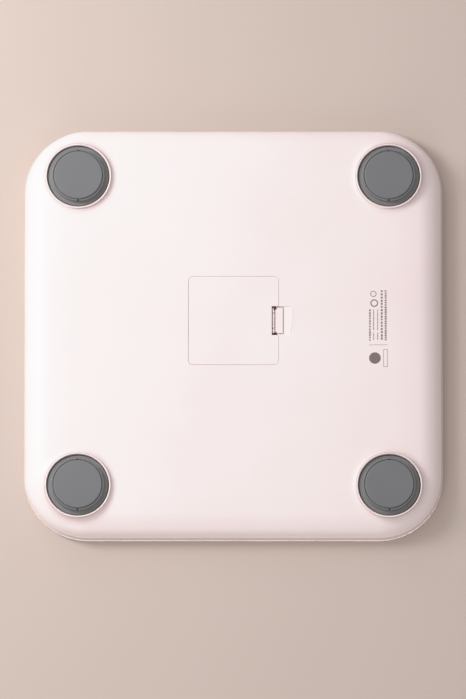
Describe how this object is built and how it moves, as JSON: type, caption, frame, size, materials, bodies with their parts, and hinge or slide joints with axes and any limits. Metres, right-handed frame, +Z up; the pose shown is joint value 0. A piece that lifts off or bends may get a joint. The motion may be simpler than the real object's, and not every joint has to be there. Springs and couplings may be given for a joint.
{
  "type": "digital bathroom scale",
  "caption": "Square bathroom scale: glass platform on a pillowed moulded base, round rubber feet on load cells, and a hinged battery door with a finger latch underneath.",
  "frame": {"origin": "middle of the footprint, on the floor under the feet", "axes": "+Z up through the glass; +Y towards the display end, -Y towards the user; +X to the user's right"},
  "size_m": [0.3, 0.3, 0.026],
  "materials": {
    "tempered_glass": "polished edge, white printed back",
    "shell_plastic": "satin moulded, faintly pink white",
    "inner_plastic": "moulded",
    "grey_rubber": "moulded",
    "cup_plastic": "moulded",
    "electrode_steel": "fine circular brush",
    "cell_steel": "zinc plated",
    "screw_steel": "zinc plated",
    "nickel_plate": "nickel plated",
    "wire_insulation": "smooth",
    "white_tape": "foam tape",
    "sealant": "cured bead",
    "smoked_film": "tinted film",
    "display_plastic": "reflector",
    "circuit_board": "solder mask",
    "chip_black": "moulded package",
    "connector_plastic": "moulded",
    "gauge_coat": "silicone coat",
    "battery_wrap": "printed sleeve, plain",
    "foam": "soft foam"
  },
  "bodies": {
    "root": {"glass_platform": "tempered_glass", "electrode_wires": "wire_insulation", "glass_tape": "white_tape", "rim_sealant": "sealant", "platform_frame": "inner_plastic", "display_window": "smoked_film", "display_module": "display_plastic", "main_pcb": "circuit_board", "pcb_chips": "chip_black", "pcb_connectors": "connector_plastic", "pcb_screws": "screw_steel", "base_shell": "shell_plastic", "shell_screws": "screw_steel", "strain_gauges": "gauge_coat", "holder_screws": "screw_steel", "battery_wires": "wire_insulation", "contact_plates": "nickel_plate", "contact_springs": "nickel_plate", "electrode_front_left": "electrode_steel", "load_cell_front_left": "cell_steel", "cell_holder_front_left": "inner_plastic", "sensor_wires_front_left": "wire_insulation", "electrode_front_right": "electrode_steel", "load_cell_front_right": "cell_steel", "cell_holder_front_right": "inner_plastic", "sensor_wires_front_right": "wire_insulation", "electrode_rear_left": "electrode_steel", "load_cell_rear_left": "cell_steel", "cell_holder_rear_left": "inner_plastic", "sensor_wires_rear_left": "wire_insulation", "electrode_rear_right": "electrode_steel", "load_cell_rear_right": "cell_steel", "cell_holder_rear_right": "inner_plastic", "sensor_wires_rear_right": "wire_insulation", "battery_1": "battery_wrap", "battery_2": "battery_wrap", "battery_3": "battery_wrap", "battery_4": "battery_wrap"},
    "door": {"battery_door": "shell_plastic", "door_foam": "foam"},
    "latch": {"door_latch": "shell_plastic"},
    "foot_front_left": {"foot_pad_front_left": "grey_rubber", "foot_cup_front_left": "cup_plastic"},
    "foot_front_right": {"foot_pad_front_right": "grey_rubber", "foot_cup_front_right": "cup_plastic"},
    "foot_rear_left": {"foot_pad_rear_left": "grey_rubber", "foot_cup_rear_left": "cup_plastic"},
    "foot_rear_right": {"foot_pad_rear_right": "grey_rubber", "foot_cup_rear_right": "cup_plastic"}
  },
  "joints": [
    {"name": "door_hinge", "type": "hinge", "parent": "root", "child": "door", "pos_m": [-0.0075, 0.03235, 0.0062], "axis": [1, 0, 0], "range_deg": [0, 75]},
    {"name": "latch_flex", "type": "hinge", "parent": "door", "child": "latch", "pos_m": [-0.0075, -0.02645, 0.0115], "axis": [1, 0, 0], "range_deg": [0, 6], "stiffness_Nm_per_rad": 0.05},
    {"name": "press_front_left", "type": "slide", "parent": "root", "child": "foot_front_left", "axis": [0, 0, 1], "range_m": [0, 0.0008], "stiffness_N_per_m": 4000, "springref_m": -0.002},
    {"name": "press_front_right", "type": "slide", "parent": "root", "child": "foot_front_right", "axis": [0, 0, 1], "range_m": [0, 0.0008], "stiffness_N_per_m": 4000, "springref_m": -0.002},
    {"name": "press_rear_left", "type": "slide", "parent": "root", "child": "foot_rear_left", "axis": [0, 0, 1], "range_m": [0, 0.0008], "stiffness_N_per_m": 4000, "springref_m": -0.002},
    {"name": "press_rear_right", "type": "slide", "parent": "root", "child": "foot_rear_right", "axis": [0, 0, 1], "range_m": [0, 0.0008], "stiffness_N_per_m": 4000, "springref_m": -0.002}
  ]
}
